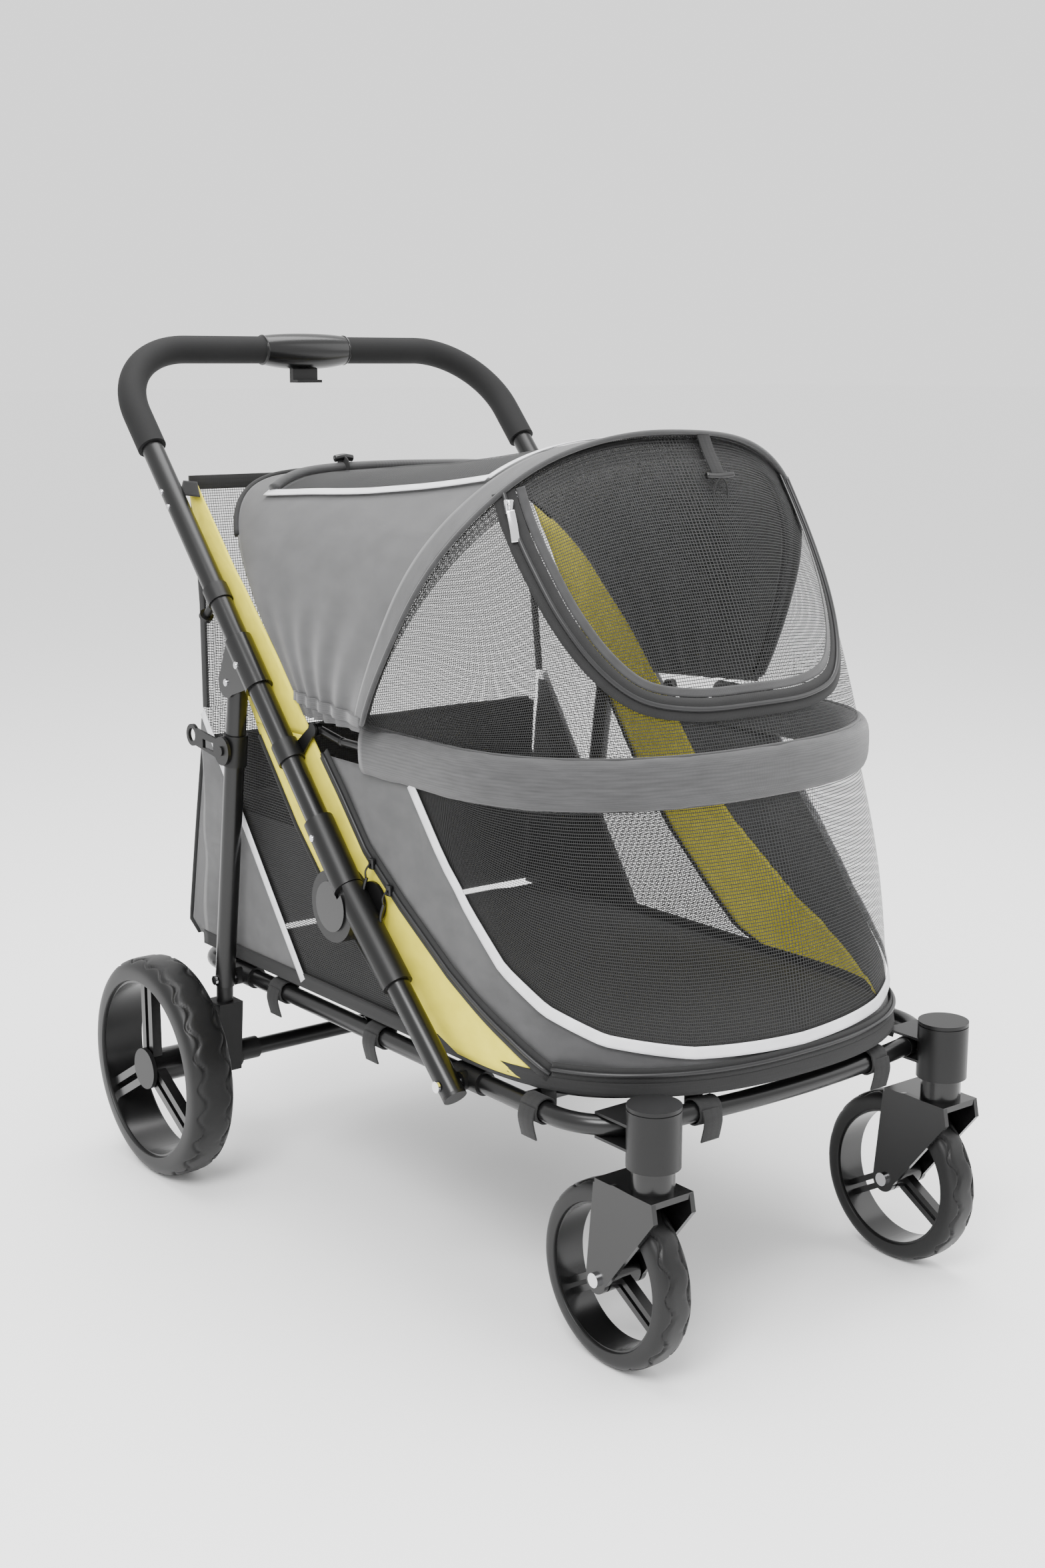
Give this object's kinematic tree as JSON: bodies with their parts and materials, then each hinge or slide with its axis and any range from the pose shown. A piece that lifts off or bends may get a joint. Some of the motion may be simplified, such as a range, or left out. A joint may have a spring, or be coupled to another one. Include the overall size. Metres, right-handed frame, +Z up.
{
  "type": "folding pet stroller",
  "caption": "Pet stroller with a fabric cabin and canopy on a tubular base, spoked rear wheels, swivel front castors and a push handle whose linked frame folds down.",
  "frame": {"origin": "on the floor, below the middle of the bounding box", "axes": "+Z up; the front, with the castors, faces -Y; the stroller's own left is +X"},
  "size_m": [0.76, 1.0803, 1.092],
  "materials": {
    "tube": "satin",
    "moulding": "satin",
    "gloss_moulding": "gloss",
    "foam": "matte",
    "tread": "matte",
    "fastener": "polished",
    "sheet_bracket": "satin",
    "cloth": "matte",
    "mesh": "open mesh",
    "webbing": "matte",
    "board": "matte"
  },
  "bodies": {
    "base": {"base_frame_tube": "tube", "floor_cross_tubes": "tube", "pivot_saddles": "moulding", "castor_brackets": "sheet_bracket", "left_castor_housing": "moulding", "right_castor_housing": "moulding", "base_bolts": "fastener", "floor_board": "board", "floor_mat": "cloth", "side_panels": "mesh", "rear_panel": "cloth", "front_panel": "cloth", "hook_loop_straps": "webbing"},
    "lower_tubes": {"left_lower_tube": "tube", "right_lower_tube": "tube", "lower_sockets": "moulding", "lower_tube_plugs": "moulding"},
    "upper_frame": {"push_handle_tube": "tube", "foam_grips": "foam", "handle_housing_top": "gloss_moulding", "handle_housing_bottom": "gloss_moulding", "left_upper_socket": "moulding", "right_upper_socket": "moulding", "hinge_covers": "gloss_moulding", "collars": "moulding", "latch_peg": "moulding", "frame_rivets": "fastener", "rail_brackets": "moulding"},
    "lever": {"release_lever": "moulding"},
    "rear_legs": {"left_rear_leg": "tube", "right_rear_leg": "tube", "left_axle_housing": "moulding", "right_axle_housing": "moulding", "rear_cross_tube": "tube", "cross_tube_tees": "moulding", "rear_axles": "fastener", "latch_clamp": "moulding"},
    "latch": {"storage_latch": "moulding"},
    "left_brake": {"left_brake_pedal": "moulding"},
    "right_brake": {"right_brake_pedal": "moulding"},
    "left_rear_wheel": {"left_rear_tyre": "tread", "left_rear_rim": "moulding", "left_hub_cap": "moulding"},
    "right_rear_wheel": {"right_rear_tyre": "tread", "right_rear_rim": "moulding", "right_hub_cap": "moulding"},
    "left_castor": {"left_castor_fork": "moulding", "left_castor_axle": "fastener"},
    "right_castor": {"right_castor_fork": "moulding", "right_castor_axle": "fastener"},
    "left_front_wheel": {"left_castor_tyre": "tread", "left_castor_rim": "moulding"},
    "right_front_wheel": {"right_castor_tyre": "tread", "right_castor_rim": "moulding"},
    "cabin_top": {"front_rail": "tube", "rail_sleeve": "cloth", "canopy_hood": "cloth", "canopy_bow": "tube", "front_screen": "mesh"},
    "slider": {"window_slider": "fastener"}
  },
  "joints": [
    {"name": "lower_fold", "type": "hinge", "parent": "base", "child": "lower_tubes", "pos_m": [0, -0.23694, 0.273], "axis": [1, 0, 0], "range_deg": [0, 100.1]},
    {"name": "frame_fold", "type": "hinge", "parent": "lower_tubes", "child": "upper_frame", "pos_m": [0, -0.01894, 0.43], "axis": [-1, 0, 0], "range_deg": [0, 151.57]},
    {"name": "leg_fold", "type": "hinge", "parent": "base", "child": "rear_legs", "pos_m": [0, 0.25796, 0.273], "axis": [1, 0, 0], "range_deg": [0, 57.8]},
    {"name": "canopy_travel", "type": "slide", "parent": "base", "child": "cabin_top", "axis": [0, -0.9437, -0.3308], "range_m": [0, 0.2994]},
    {"name": "left_wheel_spin", "type": "hinge", "parent": "rear_legs", "child": "left_rear_wheel", "pos_m": [0.35, 0.33796, 0.145], "axis": [1, 0, 0], "continuous": true},
    {"name": "right_wheel_spin", "type": "hinge", "parent": "rear_legs", "child": "right_rear_wheel", "pos_m": [-0.35, 0.33796, 0.145], "axis": [1, 0, 0], "continuous": true},
    {"name": "left_swivel", "type": "hinge", "parent": "base", "child": "left_castor", "pos_m": [0.2213, -0.49184, 0.24], "axis": [0, 0, 1], "continuous": true},
    {"name": "right_swivel", "type": "hinge", "parent": "base", "child": "right_castor", "pos_m": [-0.2213, -0.49184, 0.24], "axis": [0, 0, 1], "continuous": true},
    {"name": "left_front_spin", "type": "hinge", "parent": "left_castor", "child": "left_front_wheel", "pos_m": [0.2213, -0.43484, 0.1026], "axis": [1, 0, 0], "continuous": true},
    {"name": "right_front_spin", "type": "hinge", "parent": "right_castor", "child": "right_front_wheel", "pos_m": [-0.2213, -0.43484, 0.1026], "axis": [1, 0, 0], "continuous": true},
    {"name": "release_squeeze", "type": "slide", "parent": "upper_frame", "child": "lever", "axis": [0, 0, 1], "range_m": [0, 0.006], "stiffness_N_per_m": 900, "springref_m": -0.002},
    {"name": "latch_swing", "type": "hinge", "parent": "rear_legs", "child": "latch", "pos_m": [-0.298, 0.2144, 0.58], "axis": [1, 0, 0], "range_deg": [-25, 25]},
    {"name": "left_brake_press", "type": "hinge", "parent": "rear_legs", "child": "left_brake", "pos_m": [0.271, 0.30756, 0.172], "axis": [-1, 0, 0], "range_deg": [0, 16]},
    {"name": "right_brake_press", "type": "hinge", "parent": "rear_legs", "child": "right_brake", "pos_m": [-0.271, 0.30756, 0.172], "axis": [-1, 0, 0], "range_deg": [0, 16]},
    {"name": "window_zip", "type": "slide", "parent": "cabin_top", "child": "slider", "axis": [0, -0.2756, -0.9613], "range_m": [0, 0.06]}
  ],
  "couplings": [
    {"joint": "lower_fold", "follows": "frame_fold", "ratio": 0.65975},
    {"joint": "leg_fold", "follows": "frame_fold", "ratio": 0.3806},
    {"joint": "canopy_travel", "follows": "frame_fold", "m_per_rad": 0.11312}
  ]
}
